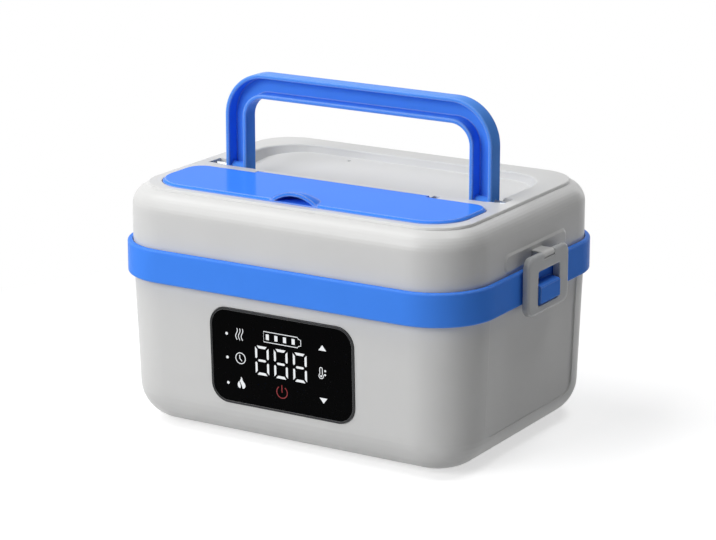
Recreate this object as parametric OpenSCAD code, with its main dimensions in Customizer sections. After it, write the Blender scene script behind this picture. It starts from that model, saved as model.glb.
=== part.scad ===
// Electric lunch box with a removable food container, a lift-off lid held by two side latches,
// a hinged cutlery cover and a folding carry handle. Millimetres, +Z up, front face towards -Y.
// The origin is on the surface that the rubber feet stand on, under the middle of the box.

/* [Band] */
// Outer width of the band, the widest part of the box
band_w = 236; // [228:1:250]
// Outer depth of the band
band_d = 179.6; // [174:0.2:190]
// Corner radius of the band seen from above
band_r = 36.8; // [34:0.2:40]
// Height of the band
band_h = 19.2; // [17:0.2:23]
// Thickness of the shelf inside the band that carries the lid and the liner
shelf_t = 2.2; // [1.8:0.1:2.6]
// Depth that the lid skirt sinks into the band
lid_nest = 6.2; // [5:0.1:7]

/* [Base] */
// Height of the base shell up to the band
base_h = 88.2; // [84:0.2:100]
// Step from the band in to the base at the sides
base_inset_x = 3.2; // [3:0.1:4]
// Step from the band in to the base at the front and back
base_inset_y = 5.1; // [4:0.1:6]
// Corner radius of the base seen from above
base_r = 32.3; // [30:0.1:34]
// Draft of the base walls, inward per unit of height
base_draft = 0.035; // [0.02:0.005:0.045]
// Radius between the base walls and the bottom
base_fillet = 22.3; // [18:0.1:24]
// Wall thickness of the base shell
base_wall = 2.8; // [2.4:0.1:3.2]
// Thickness of the bottom of the base shell
base_floor = 3.6; // [3.2:0.1:4.2]
// Height that the rubber feet lift the shell
foot_proud = 1.2; // [0.8:0.1:2]
// Radius of a rubber foot
foot_r = 6.5; // [5:0.1:7]
// Width of the bottom cover
cover_plate_w = 150; // [146:1:152]
// Depth of the bottom cover
cover_plate_d = 96; // [92:1:98]
// Thickness of the bottom cover
cover_plate_t = 2; // [1.6:0.1:2.4]
// Depth of the flat panel that is sunk into each end of the base
side_panel_depth = 0.8; // [0.5:0.1:1.2]
// Height of the lower edge of the end panels over the bottom of the shell
side_panel_z = 17.5; // [14:0.5:22]

/* [Lid] */
// Height of the lid top above the band
lid_rise = 33.4; // [32:0.2:38]
// Step from the band in to the lid wall
lid_inset = 3.4; // [3.2:0.1:4]
// Wall thickness of the lid shell
lid_wall = 2.6; // [2.2:0.1:2.8]
// Radius between the lid walls and its shoulder
lid_fillet = 12; // [10:0.5:14]
// Distance from the lid wall in to the raised top
plateau_inset = 9; // [8:0.2:9.4]
// Height of the raised top over the shoulder
plateau_step = 1.1; // [0.8:0.1:1.4]

/* [Handle recess] */
// Gap between the handle and the side walls of the recess
recess_side = 3; // [2.4:0.1:3.6]
// Distance from the box centre back to the rear wall of the recess
recess_back = 62; // [61.5:0.1:64]
// Distance from the box centre forward to the front wall of the recess
recess_front = 8.6; // [8.2:0.1:9]
// Rear corner radius of the recess
recess_r = 26; // [22:0.5:28]
// Depth of the recess at its rear wall
recess_depth = 4.4; // [4:0.1:4.8]
// Slope of the recess floor, which falls towards the front, in degrees
recess_slope = 3.8; // [3.4:0.05:4.2]
// Lean of the recess walls, measured as the inset of the floor
recess_lean = 1.6; // [1:0.1:2]
// Radius of the rounded rim of the recess
recess_rim = 1.5; // [1:0.1:1.8]
// Distance from the side of the handle out to the end of the pocket beside its foot
pocket_side = 9.6; // [8.6:0.1:10.6]
// Distance from the centre to the vent hole
vent_x = 40; // [20:1:60]
// Distance from the rear wall of the recess to the vent hole
vent_back = 7.5; // [6:0.5:12]

/* [Handle] */
// Outer half width of the handle
handle_hw = 89; // [88:0.1:89.2]
// Height of the handle top above the lid top when it stands up
handle_rise = 55.4; // [50:0.2:57]
// Width of the channel section, seen from the front
handle_sec_w = 14.5; // [13:0.1:16]
// Thickness of the channel section, front to back
handle_sec_t = 10.5; // [9:0.1:10.6]
// Thickness of the flanges of the channel
handle_flange = 2.5; // [2:0.1:3]
// Thickness of the web of the channel
handle_web = 2.5; // [2:0.1:3]
// Inner radius of the handle corners
handle_bend_r = 12; // [9:0.5:16]
// Radius of the handle pivot pins
handle_pin_r = 1.8; // [1.5:0.1:1.9]

/* [Cutlery compartment] */
// Half width of the cutlery cover
cover_hw = 99; // [97:0.1:99.4]
// Distance from the box centre forward to the front edge of the cover
cover_front = 71.1; // [70:0.1:71.4]
// Distance from the box centre forward to the rear edge of the cover, outside its hinges
cover_back = 21.2; // [20.8:0.1:22]
// Reach of the cover towards the back between its hinges
tongue_reach = 3.5; // [2.5:0.1:3.6]
// Radius of the front corners of the cover
cover_front_r = 22.7; // [20:0.1:24]
// Radius of the rear corners of the cover
cover_rear_r = 11; // [9:0.5:12]
// Height of the cover over the lid top
cover_proud = 1.5; // [1:0.1:2]
// Half width of the arched finger lift
lift_hw = 16; // [12:0.5:18]
// Height of the finger lift over the cover
lift_h = 5.2; // [4:0.1:6]
// Wall thickness of the finger lift
lift_wall = 2.2; // [1.6:0.1:2.4]
// Depth of the cutlery tray below the cover
tray_depth = 17; // [12:0.5:18]
// Wall thickness of the cutlery tray
tray_wall = 1.8; // [1.4:0.1:2.2]
// Distance from the centre to each cover hinge arm
hinge_arm_x = 59; // [45:1:75]
// Width of a hinge arm
hinge_arm_w = 3.2; // [2.6:0.1:4]
// Radius of the cover hinge pins
hinge_pin_r = 1; // [0.8:0.05:1.1]

/* [Latches] */
// Width of a latch frame
latch_w = 48; // [44:0.5:54]
// Thickness of a latch frame
latch_t = 4.3; // [4.1:0.1:4.6]
// Distance that the latch reaches below the band
latch_drop = 6.8; // [6.4:0.1:7.6]
// Distance from the latch top down to the lid top
latch_top_drop = 25.1; // [24:0.1:26]
// Width of the window in a latch
latch_window_w = 26; // [25.5:0.5:28]
// Width of a hook on the band
hook_w = 23; // [20:0.5:23.5]
// Reach of a hook out of the band
hook_reach = 6.6; // [6.4:0.1:6.9]
// Radius of the latch pins
latch_pin_r = 1.1; // [0.9:0.05:1.2]

/* [Food container] */
// Distance from the end walls of the lid in to the wall of the food container
pot_side = 24.6; // [24:0.1:28]
// Distance from the front and back walls of the lid in to the wall of the food container
pot_end = 25.4; // [24.8:0.1:28]
// Corner radius of the food container
pot_r = 18.5; // [15:0.5:20]
// Sheet thickness of the food container
pot_wall = 0.8; // [0.6:0.1:1]
// Width of the rim of the food container
pot_rim = 5; // [4:0.1:5.4]
// Wall thickness of the inner liner
liner_wall = 1.6; // [1.4:0.1:2]
// Distance from the centre to the steam plug in the container lid
plug_x = 45; // [30:1:60]
// Radius of the hole for the steam plug
plug_r = 4; // [3:0.1:5]

/* [Display] */
// Width of the touch panel with its bezel
panel_w = 95; // [80:1:104]
// Height of the touch panel with its bezel
panel_h = 56.6; // [48:0.2:58]
// Corner radius of the touch panel
panel_r = 11; // [6:0.5:14]
// Width of the bezel round the panel
bezel_w = 1.3; // [1:0.1:2]
// Height of the panel centre over the bottom of the base shell
panel_z = 51.3; // [48:0.1:54]

/* [Electrics] */
// Radius of a battery cell
cell_r = 9.2; // [8:0.1:9.3]
// Length of a battery cell
cell_l = 65; // [60:0.5:66]
// Rows of cells, two cells to a row
cell_rows = 3; // [2:1:3]
// Distance from the centre to the charging socket
socket_x = 62; // [40:1:70]
// Height of the charging socket over the bottom of the base shell
socket_z = 30; // [27:0.5:40]
// Width of the round-ended recess of the charging socket
socket_w = 17; // [15:0.5:18]
// Height of the recess of the charging socket
socket_h = 8; // [7:0.2:9]
// Depth of the recess of the charging socket
socket_depth = 9; // [7:0.5:10]
// Distance between the two pins of the charging socket
socket_pitch = 8.4; // [7.8:0.1:9]
// Radius of a pin of the charging socket
socket_pin_r = 1.1; // [0.8:0.05:1.2]

/* [Hidden] */

$fn = 64;
grey = "gainsboro";
blue = "royalblue";
steel = "silver";
dark = "dimgray";

// Clearances
seat_gap = 0.2;       // between pieces that rest on each other
fit_gap = 0.4;        // round pieces that drop into an opening
lid_gap = 0.5;        // between the lid skirt and the band
run_gap = 0.05;       // radial running clearance of a pin
pin_gap = 0.02;       // radial clearance of a pin held by its carrier
cut = 1;              // how far a cutting solid runs past the face it cuts
arc_steps = 10;       // straight steps in a rounded edge

// Heights
z_floor = foot_proud;
z_band = z_floor + base_h;
z_band_top = z_band + band_h;
z_lid = z_band_top - lid_nest;
z_shelf = z_lid - seat_gap;
z_base_top = z_shelf - shelf_t;
z_top = z_band_top + lid_rise;
z_shoulder = z_top - plateau_step;

// Corner axes, half widths and radii
band_ax = band_w / 2 - band_r;
band_ay = band_d / 2 - band_r;
lid_r = band_r - lid_inset;
lid_hw = band_w / 2 - lid_inset;
lid_hd = band_d / 2 - lid_inset;
base_hw = band_w / 2 - base_inset_x;
base_hd = band_d / 2 - base_inset_y;
base_ax = base_hw - base_r;
base_ay = base_hd - base_r;
draft_angle = atan(base_draft);

// Liner, container and lid liner levels
flange_t = 1.8;
flange_inset = lid_wall + 0.7;
z_flange = z_shelf + flange_t;
z_pot_rim = z_flange + seat_gap;
z_pot_top = z_pot_rim + 1;
pot_hw = lid_hw - pot_side;
pot_hd = lid_hd - pot_end;
pot_ax = pot_hw - pot_r;
pot_ay = pot_hd - pot_r;
pot_gap = 1.4;
liner_r = pot_r + pot_gap + liner_wall;
seal_h = 2.4;
z_pot_lid = z_pot_top + seal_h;
pot_lid_t = 1.6;
z_lid_liner = z_pot_lid + pot_lid_t + 5.4;
lid_liner_t = 2;
ring_hw = lid_hw - 10;
ring_hd = lid_hd - 10.8;
ring_r = 24;
ring_t = 2;
gasket_h = 2.6;
gasket_gap = 0.3;

// Battery and control board, from the bottom upward
holder_w = 138;
holder_d = 80;
holder_t = 1.6;
holder_rim = 10;
z_holder = z_floor + cover_plate_t;
cell_pitch = 2 * cell_r + 0.6;
z_cells = z_holder + holder_t + cell_r + 0.1;
post_x = holder_w / 2 - 6;
post_y = holder_d / 2 - 5;
board_t = 1.6;
z_board = z_cells + cell_r + 3.4;
part_h = 3.6;

// Heater stack over the board: the container reaches from it up to the lid
plate_w = 132;
plate_d = 90;
plate_flange = 4.5;
plate_t = 2;
film_t = 1.1;
pad_t = 6;
bracket_t = 0.8;
bracket_w = 16;
bracket_x = plate_w / 2 + 5;
stack_gap = 2;
plate_rise = 2.4;
z_bracket = z_board + board_t + part_h + stack_gap;
z_pad = z_bracket + bracket_t;
z_film = z_pad + pad_t;
z_plate = z_film + film_t;
z_liner = z_plate + plate_t;
z_pot = z_liner + plate_rise;
sensor_r = 6;
fuse_r = 2.2;
fuse_y = 17;

// Screws
screw_r = 1.5;
screw_head_r = 2.8;
screw_head_h = 1.6;
bottom_screw_l = 8;
frame_screw_l = 13;
heater_screw_l = 7;
lid_screw_l = 10;
frame_screw_x = lid_hw - lid_wall - 4;
frame_screw_y = 45;
lid_screw_x = lid_hw - 14.6;
lid_screw_y = lid_hd - 14.4;
bottom_screw_x = cover_plate_w / 2 - 5;
bottom_screw_y = cover_plate_d / 2 - 5;
foot_x = cover_plate_w / 2 + foot_r + 1.5;
foot_y = base_ay - 0.4;

// Recess and handle
recess_hw = handle_hw + recess_side;
pocket_x = handle_hw + pocket_side;
pin_grip = 5;
pin_x = pocket_x + pin_grip;
pin_in = 8.6;
vent_y = recess_back - vent_back;
floor_fall = tan(recess_slope);
recess_front_r = 6;
pivot_z = z_top - recess_depth - floor_fall * recess_back + (handle_sec_t / 2 + fit_gap) / cos(recess_slope);
handle_top = z_top + handle_rise;
handle_boss_r = handle_pin_r + 1.6;
pocket_back = 3.4;
lid_pan = 2;

// Cover hinge
tongue_y = -cover_back + tongue_reach;
tongue_hw = hinge_arm_x - hinge_arm_w / 2 - fit_gap;
hinge_y = tongue_y + 3.1;
hinge_z = z_top - 2.9;
hinge_r = 1.8;
cover_bottom = z_top - 1.6;
tray_flange_t = 2.1;
z_tray_flange = cover_bottom - seat_gap - tray_flange_t;
tray_lip = 3.5;
tray_floor_t = 1.8;

// Latch
latch_x = band_w / 2 + 1.2;
latch_z0 = z_band - latch_drop;
latch_z1 = z_top - latch_top_drop;
latch_pivot_x = latch_x + latch_t / 2;
latch_pivot_z = latch_z1 - latch_t / 2;
window_z0 = z_band - 2.2;
window_z1 = z_band_top - 1.3;
hook_z0 = window_z0 + 0.35;
hook_z1 = hook_z0 + 11;
catch_in = 1.6;
catch_rise = 1.1;
knuckle_w = 12;
latch_edge = 1.5;

// ---------------------------------------------------------------- shared shapes

// Points of an arc round (x, y) from angle a0 to a1
function arc(x, y, r, a0, a1, steps = arc_steps) =
    [for (i = [0:steps]) [x + r * cos(a0 + (a1 - a0) * i / steps), y + r * sin(a0 + (a1 - a0) * i / steps)]];

// Rectangle with round corners, centred
module round_rect(w, d, r, sides = $fn) {
    square([w - 2 * r, d], center = true);
    square([w, d - 2 * r], center = true);
    for (sx = [-1, 1], sy = [-1, 1]) translate([sx * (w / 2 - r), sy * (d / 2 - r)]) circle(r, $fn = sides);
}

module round_plate(w, d, r, z0, z1) {
    translate([0, 0, z0]) linear_extrude(z1 - z0) round_rect(w, d, r);
}

module round_ring(w, d, r, t, z0, z1) {
    difference() {
        round_plate(w, d, r, z0, z1);
        round_plate(w - 2 * t, d - 2 * t, r - t, z0 - cut, z1 + cut);
    }
}

// Moulded box: the wall outline p runs from the middle plane out and back, as [distance from the
// corner axis, height] points. It is turned round the four corner axes and drawn along the sides.
module moulded(ax, ay, p) {
    rev = [for (i = [len(p) - 1:-1:0]) p[i]];
    for (sx = [0, 1], sy = [0, 1])
        mirror([sx, 0, 0]) mirror([0, sy, 0]) translate([ax, ay, 0]) rotate_extrude(angle = 90) polygon(p);
    translate([0, ay, 0]) rotate([90, 0, 0]) linear_extrude(2 * ay)
        polygon(concat([for (q = p) [ax + q[0], q[1]]], [for (q = rev) [-ax - q[0], q[1]]]));
    translate([-ax, 0, 0]) rotate([90, 0, 90]) linear_extrude(2 * ax)
        polygon(concat([for (q = p) [ay + q[0], q[1]]], [for (q = rev) [-ay - q[0], q[1]]]));
}

// A cylinder from a to b along X, Y or Z
module rod_x(r, x0, x1, y, z) {
    translate([x0, y, z]) rotate([0, 90, 0]) cylinder(h = x1 - x0, r = r);
}

module at_corners(x, y) {
    for (sx = [0, 1], sy = [0, 1]) mirror([sx, 0, 0]) mirror([0, sy, 0]) translate([x, y, 0]) children();
}

// Countersunk screw with its head at the origin, pointing up
module screw(length) {
    difference() {
        union() {
            cylinder(h = screw_head_h, r1 = screw_head_r, r2 = screw_r);
            cylinder(h = length, r = screw_r);
        }
        translate([0, 0, -cut]) cylinder(h = cut + 0.9, r = 1.1, $fn = 6);
    }
}

module screw_hole(length) {
    translate([0, 0, -cut]) cylinder(h = cut + 0.01, r = screw_head_r + 0.15);
    cylinder(h = screw_head_h + 0.15, r1 = screw_head_r + 0.15, r2 = screw_r);
    cylinder(h = length, r = screw_r + pin_gap);
}

// The drafted front wall: X right, Y up the wall, Z out of it, with the origin at the panel centre
module on_front(height) {
    translate([0, -wall_y(z_floor + height), z_floor + height]) rotate([90 + draft_angle, 0, 0]) children();
}

// The drafted right wall, with its local X along +Y
module on_side(height) {
    translate([base_hw - base_draft * (z_band - z_floor - height), 0, z_floor + height])
        rotate([0, draft_angle, 0]) rotate([90, 0, 90]) children();
}

module on_rear(x, height) {
    translate([x, wall_y(z_floor + height), z_floor + height]) rotate([-90 - draft_angle, 0, 0]) children();
}

function wall_y(z) = base_hd - base_draft * (z_band - z);

// ---------------------------------------------------------------- base

// Outline of the drafted base with its large bottom fillet, at an inset from the outer face
function base_line(inset, floor_in, top) =
    let (f = base_fillet - inset,
         zc = z_floor + base_fillet,
         uc = base_r - base_draft * (z_band - zc) - base_fillet)
    concat([[0, z_floor + floor_in], [uc, z_floor + floor_in]],
        [for (q = arc(uc, zc, f, -90, -draft_angle)) if (q[1] > z_floor + floor_in) q],
        [[base_r - inset - base_draft * (z_band - top), top]]);

module base_shell() {
    outer = base_line(0, 0, z_base_top);
    inner = base_line(base_wall, base_floor, z_base_top);
    rebate_z = z_floor + cover_plate_t;
    panel_rise = base_h + 6 - side_panel_z;
    color(grey) difference() {
        union() {
            moulded(base_ax, base_ay, concat(outer, [for (i = [len(inner) - 1:-1:0]) inner[i]]));
            at_corners(frame_screw_x, frame_screw_y) translate([0, 0, z_base_top - 16]) {
                cylinder(h = 16, r = 3.8);
                translate([0, -1.5, 0]) cube([5, 3, 16]);
            }
            at_corners(bottom_screw_x, bottom_screw_y)
                translate([0, 0, rebate_z + 0.1]) cylinder(h = bottom_screw_l + 1, r = 3.6);
            on_front(panel_z) at_corners(panel_w / 2 - 4, panel_h / 2 - 4)
                translate([0, 0, -base_wall - 3.6]) cylinder(h = 3.7, r = 2.8);
        }
        round_plate(cover_plate_w + 0.4, cover_plate_d + 0.4, 8.2, z_floor - cut, rebate_z);
        round_plate(holder_w + 4, holder_d + 4, 6, z_floor, z_floor + base_floor + cut);
        at_corners(foot_x, foot_y) translate([0, 0, z_floor - cut]) cylinder(h = cut + 1, r = foot_r + 0.1);
        at_corners(bottom_screw_x, bottom_screw_y)
            translate([0, 0, z_floor]) cylinder(h = bottom_screw_l + 2, r = screw_r + pin_gap);
        at_corners(frame_screw_x, frame_screw_y)
            translate([0, 0, z_base_top - 12]) cylinder(h = 12 + cut, r = screw_r + pin_gap);
        on_front(panel_z) {
            translate([0, 0, -1.6]) linear_extrude(1.6 + cut) round_rect(panel_w + 0.3, panel_h + 0.3, panel_r + 0.15);
            translate([0, 0, -base_wall - cut]) linear_extrude(base_wall + cut)
                round_rect(panel_w - 15, panel_h - 15, 4);
            at_corners(panel_w / 2 - 4, panel_h / 2 - 4)
                translate([0, 0, -base_wall - 4]) cylinder(h = 4.4, r = 1 + pin_gap);
        }
        on_rear(socket_x, socket_z) {
            translate([0, 0, -1]) linear_extrude(1 + cut) slot_plan(socket_w + 10.6, socket_h + 7.6);
            translate([0, 0, -base_wall - cut]) linear_extrude(base_wall + 2 * cut)
                slot_plan(socket_w + 3.6, socket_h + 3.6);
        }
        for (sx = [0, 1]) mirror([sx, 0, 0]) on_side(side_panel_z + panel_rise / 2)
            translate([0, 0, -side_panel_depth]) linear_extrude(side_panel_depth + cut)
                round_rect(2 * base_ay - 1, panel_rise, 8);
    }
}

module bottom_cover() {
    color(grey) difference() {
        round_plate(cover_plate_w, cover_plate_d, 8, z_floor, z_floor + cover_plate_t);
        at_corners(bottom_screw_x, bottom_screw_y) translate([0, 0, z_floor]) screw_hole(bottom_screw_l);
        for (sx = [-1, 1], i = [-3:3]) translate([sx * 34 + i * 6, 0, z_floor - cut])
            linear_extrude(cut + 0.6) round_rect(2, 30, 0.99);
    }
}

module rubber_feet() {
    color(dark) at_corners(foot_x, foot_y) rotate_extrude()
        polygon([[0, 0], [foot_r - 0.8, 0], [foot_r, 0.8], [foot_r, z_floor + 1], [0, z_floor + 1]]);
}

module bottom_screws() {
    color(steel) at_corners(bottom_screw_x, bottom_screw_y) translate([0, 0, z_floor]) screw(bottom_screw_l);
}

// ---------------------------------------------------------------- band

// Outline of the catch on the band, out from the wall: a flat underside, a ramp up to the nose
module hook() {
    x0 = band_w / 2 - 1;
    x1 = band_w / 2 + hook_reach;
    translate([0, hook_w / 2, 0]) rotate([90, 0, 0]) linear_extrude(hook_w)
        polygon([[x0, hook_z0], [x1 - catch_in, hook_z0], [x1, hook_z0 + catch_rise], [x1, hook_z1 - 0.8],
            [x1 - 0.8, hook_z1], [band_w / 2, hook_z1 + 1.2], [x0, hook_z1 + 1.2]]);
}

module mid_band() {
    low = base_draft * (z_base_top - z_band) + fit_gap;
    edge = 1.2;
    color(blue) difference() {
        union() {
            moulded(band_ax, band_ay, concat([[0, z_band]],
                arc(band_r - edge, z_band + edge, edge, -90, 0, 4),
                arc(band_r - edge, z_band_top - edge, edge, 0, 90, 4), [[0, z_band_top]]));
            hook();
            mirror([1, 0, 0]) hook();
        }
        round_plate(2 * (base_hw + low), 2 * (base_hd + low), base_r + low, z_band - 2 * cut, z_base_top);
        round_plate(2 * (lid_hw + lid_gap), 2 * (lid_hd + lid_gap), lid_r + lid_gap, z_shelf, z_band_top + cut);
        round_plate(2 * (pot_hw + 4), 2 * (pot_hd + 4), pot_r + 4, z_base_top - cut, z_shelf + cut);
        at_corners(frame_screw_x, frame_screw_y)
            translate([0, 0, z_base_top - cut]) cylinder(h = shelf_t + 2 * cut, r = screw_r + 0.1);
    }
}

// ---------------------------------------------------------------- liner and heater

module inner_liner() {
    corner = 8;
    u0 = liner_r - 0.6;
    t = liner_wall;
    z1 = z_liner + t;
    color("whitesmoke") difference() {
        union() {
            moulded(pot_ax, pot_ay, concat([[0, z_liner]], arc(u0 - corner, z_liner + corner, corner, -90, 0, 6),
                [[liner_r, z_flange], [liner_r - t, z_flange]],
                arc(u0 - corner, z_liner + corner, corner - t, 0, -90, 6), [[0, z1]]));
            difference() {
                round_plate(2 * (lid_hw - flange_inset), 2 * (lid_hd - flange_inset), lid_r - flange_inset,
                    z_shelf, z_flange);
                round_plate(2 * (pot_ax + liner_r) - 1, 2 * (pot_ay + liner_r) - 1, liner_r - 0.5,
                    z_shelf - cut, z_flange + cut);
            }
            for (sx = [-1, 1]) translate([sx * bracket_x, 0, z_pad]) cylinder(h = z_liner - z_pad + 0.5, r = 4);
        }
        round_plate(plate_w - 2 * plate_flange + 0.6, plate_d - 2 * plate_flange + 0.6, 8.3,
            z_liner - cut, z1 + cut);
        at_corners(frame_screw_x, frame_screw_y) translate([0, 0, z_flange]) mirror([0, 0, 1]) screw_hole(4);
        for (sx = [-1, 1]) translate([sx * bracket_x, 0, z_pad - cut])
            cylinder(h = heater_screw_l, r = screw_r + pin_gap);
    }
}

module frame_screws() {
    color(steel) at_corners(frame_screw_x, frame_screw_y)
        translate([0, 0, z_flange]) mirror([0, 0, 1]) screw(frame_screw_l);
}

module heating_plate() {
    color(steel) difference() {
        union() {
            round_plate(plate_w, plate_d, 12, z_plate, z_liner);
            round_plate(plate_w - 2 * plate_flange, plate_d - 2 * plate_flange, 8, z_plate, z_pot - seat_gap);
        }
        translate([0, 0, z_plate - cut]) cylinder(h = 12, r = sensor_r + 0.3);
    }
}

module heating_film() {
    color("darkorange") difference() {
        round_plate(plate_w - 16, plate_d - 14, 8, z_film, z_plate);
        translate([0, 0, z_film - cut]) cylinder(h = 12, r = sensor_r + 0.3);
    }
}

module insulation_pad() {
    color("lightyellow") difference() {
        round_plate(plate_w - 8, plate_d - 8, 10, z_pad, z_film);
        translate([0, 0, z_pad - cut]) cylinder(h = 12, r = sensor_r + 0.3);
        translate([18, fuse_y - 3, z_film - 5]) cube([26, 6, 5 + cut]);
    }
}

module heater_bracket() {
    color(steel) difference() {
        translate([-bracket_x - 5, -bracket_w / 2, z_bracket]) cube([2 * bracket_x + 10, bracket_w, bracket_t]);
        translate([0, 0, z_bracket - cut]) cylinder(h = 12, r = sensor_r - 2);
        for (sx = [-1, 1]) translate([sx * bracket_x, 0, z_bracket - cut]) cylinder(h = 4, r = screw_r + 0.1);
    }
}

module heater_screws() {
    color(steel) for (sx = [-1, 1]) translate([sx * bracket_x, 0, z_bracket - screw_head_h]) {
        cylinder(h = screw_head_h, r = screw_head_r);
        cylinder(h = heater_screw_l, r = screw_r);
    }
}

// Spring-loaded button that senses the container through the heating plate
module temperature_sensor() {
    color(steel) translate([0, 0, z_pad]) rotate_extrude()
        polygon([[0, 0], [sensor_r - 1, 0], [sensor_r - 1, 2], [sensor_r, 2], [sensor_r, z_pot - z_pad - 0.8],
            [sensor_r - 0.6, z_pot - z_pad - seat_gap], [0, z_pot - z_pad - seat_gap]]);
}

module thermal_fuse() {
    color(steel) {
        rod_x(fuse_r, 24, 38, fuse_y, z_film - fuse_r);
        rod_x(0.5, 19, 25, fuse_y, z_film - fuse_r);
        rod_x(0.5, 37, 43, fuse_y, z_film - fuse_r);
    }
}

// ---------------------------------------------------------------- battery and boards

// Round cell with the crimped groove and the button of its positive end
module cell() {
    can = cell_l - 1.4;
    rotate_extrude() polygon([[0, 0], [cell_r - 0.5, 0], [cell_r, 0.5], [cell_r, can - 4], [cell_r - 0.7, can - 3.4],
        [cell_r - 0.7, can - 2.8], [cell_r, can - 2.2], [cell_r, can - 0.6], [cell_r - 0.8, can], [3, can],
        [2.6, cell_l], [0, cell_l]]);
}

module battery_cells() {
    color("seagreen") for (i = [0:cell_rows - 1], sx = [0, 1]) mirror([sx, 0, 0])
        translate([1, (i - (cell_rows - 1) / 2) * cell_pitch, z_cells]) rotate([0, 90, 0]) cell();
}

module battery_holder() {
    color(dark) difference() {
        union() {
            round_plate(holder_w, holder_d, 4, z_holder, z_holder + holder_t);
            round_ring(holder_w, holder_d, 4, 1.6, z_holder, z_holder + holder_rim);
            at_corners(post_x, post_y) translate([0, 0, z_holder]) cylinder(h = z_board - z_holder, r = 3);
            for (x = [-50, -20, 20, 50])
                translate([x - 1, -holder_d / 2 + 1, z_holder]) cube([2, holder_d - 2, holder_t + 5]);
        }
        for (i = [0:cell_rows - 1])
            rod_x(cell_r + 0.1, -holder_w / 2 + 2, holder_w / 2 - 2, (i - (cell_rows - 1) / 2) * cell_pitch, z_cells);
        at_corners(post_x, post_y) translate([0, 0, z_board - 6]) cylinder(h = 7, r = 1);
    }
}

module control_board() {
    w = 2 * post_x + 7;
    d = 2 * post_y + 6;
    color("darkgreen") difference() {
        union() {
            round_plate(w, d, 3, z_board, z_board + board_t);
            translate([0, 0, z_board + board_t - 0.01]) {
                translate([-40, -20, 0]) cube([16, 16, 3]);
                translate([-14, -26, 0]) cube([24, 10, 2.4]);
                translate([-50, 12, 0]) cube([12, 8, part_h]);
                translate([-30, 14, 0]) cube([12, 8, part_h]);
                for (x = [22, 32, 42]) translate([x, -22, 0]) cylinder(h = part_h, r = 3.4);
                for (x = [20:8:52]) translate([x, 8, 0]) cube([4, 9, 1.6]);
            }
        }
        at_corners(post_x, post_y) translate([0, 0, z_board - cut]) cylinder(h = 6, r = 1.2);
    }
}

module display_board() {
    z1 = -base_wall - 3.6;
    color("darkgreen") on_front(panel_z) difference() {
        union() {
            translate([0, 0, z1 - board_t]) linear_extrude(board_t) round_rect(panel_w, panel_h, 3);
            translate([0, 2, z1 - 0.01]) linear_extrude(3) square([panel_w - 33, panel_h - 30.6], center = true);
            for (x = [-1, 1]) translate([x * (panel_w / 2 - 19.5), 10 - panel_h / 2, z1 - board_t - 2.6])
                linear_extrude(2.7) square([12, 6], center = true);
        }
        at_corners(panel_w / 2 - 4, panel_h / 2 - 4) translate([0, 0, z1 - 4]) cylinder(h = 6, r = 1.1);
    }
}

module display_screws() {
    z1 = -base_wall - 3.6 - board_t;
    color(steel) on_front(panel_z) at_corners(panel_w / 2 - 4, panel_h / 2 - 4) {
        translate([0, 0, z1 - 1.2]) cylinder(h = 1.2, r = 2);
        translate([0, 0, z1 - 1]) cylinder(h = 5.6, r = 1);
    }
}

module display_bezel() {
    color(dark) on_front(panel_z) difference() {
        translate([0, 0, -1.6]) linear_extrude(2.2) round_rect(panel_w, panel_h, panel_r);
        translate([0, 0, -1.6 - cut]) linear_extrude(5)
            round_rect(panel_w - 2 * bezel_w, panel_h - 2 * bezel_w, panel_r - bezel_w);
    }
}

module touch_panel() {
    gap = bezel_w + 0.05;
    color("black") on_front(panel_z) translate([0, 0, -1.6]) linear_extrude(2)
        round_rect(panel_w - 2 * gap, panel_h - 2 * gap, panel_r - gap);
}

// Round-ended outline, centred
module slot_plan(w, h) {
    square([w - h, h], center = true);
    for (sx = [-1, 1]) translate([sx * (w - h) / 2, 0]) circle(h / 2);
}

// Charging inlet with two pins in a round-ended recess, held by two snap ledges inside the wall
module charge_socket() {
    back = socket_depth + 4;
    ledge = (socket_w + 3) / 2;
    color(dark) on_rear(socket_x, socket_z) {
        difference() {
            union() {
                translate([0, 0, -1]) linear_extrude(1.4) slot_plan(socket_w + 10, socket_h + 7);
                translate([0, 0, -back]) linear_extrude(back) slot_plan(socket_w + 3, socket_h + 3);
                for (sx = [-1, 1]) translate([sx * ledge, 0, -base_wall - 1.3]) cube([3, 5, 2], center = true);
            }
            translate([0, 0, -socket_depth]) linear_extrude(socket_depth + cut) slot_plan(socket_w, socket_h);
        }
        for (sx = [-1, 1]) translate([sx * socket_pitch / 2, 0, -socket_depth - 1])
            cylinder(h = socket_depth, r = socket_pin_r);
    }
}

// ---------------------------------------------------------------- food container

module food_container() {
    corner = 9;
    u0 = pot_r - 1.2;
    t = pot_wall;
    curl = 1.1;
    color(steel) difference() {
        moulded(pot_ax, pot_ay, concat([[0, z_pot]], arc(u0 - corner, z_pot + corner, corner, -90, 0, 6),
            [[pot_r, z_pot_rim - 0.3], [pot_r + 0.5, z_pot_rim]],
            [[pot_r + pot_rim - curl, z_pot_rim]], arc(pot_r + pot_rim - curl, z_pot_rim + 0.5, 0.5, -90, 90, 6),
            [[pot_r + 0.4, z_pot_top], [pot_r - t, z_pot_rim - 0.4]],
            arc(u0 - corner, z_pot + corner, corner - t, 0, -90, 6), [[0, z_pot + t]]));
    }
}

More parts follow.
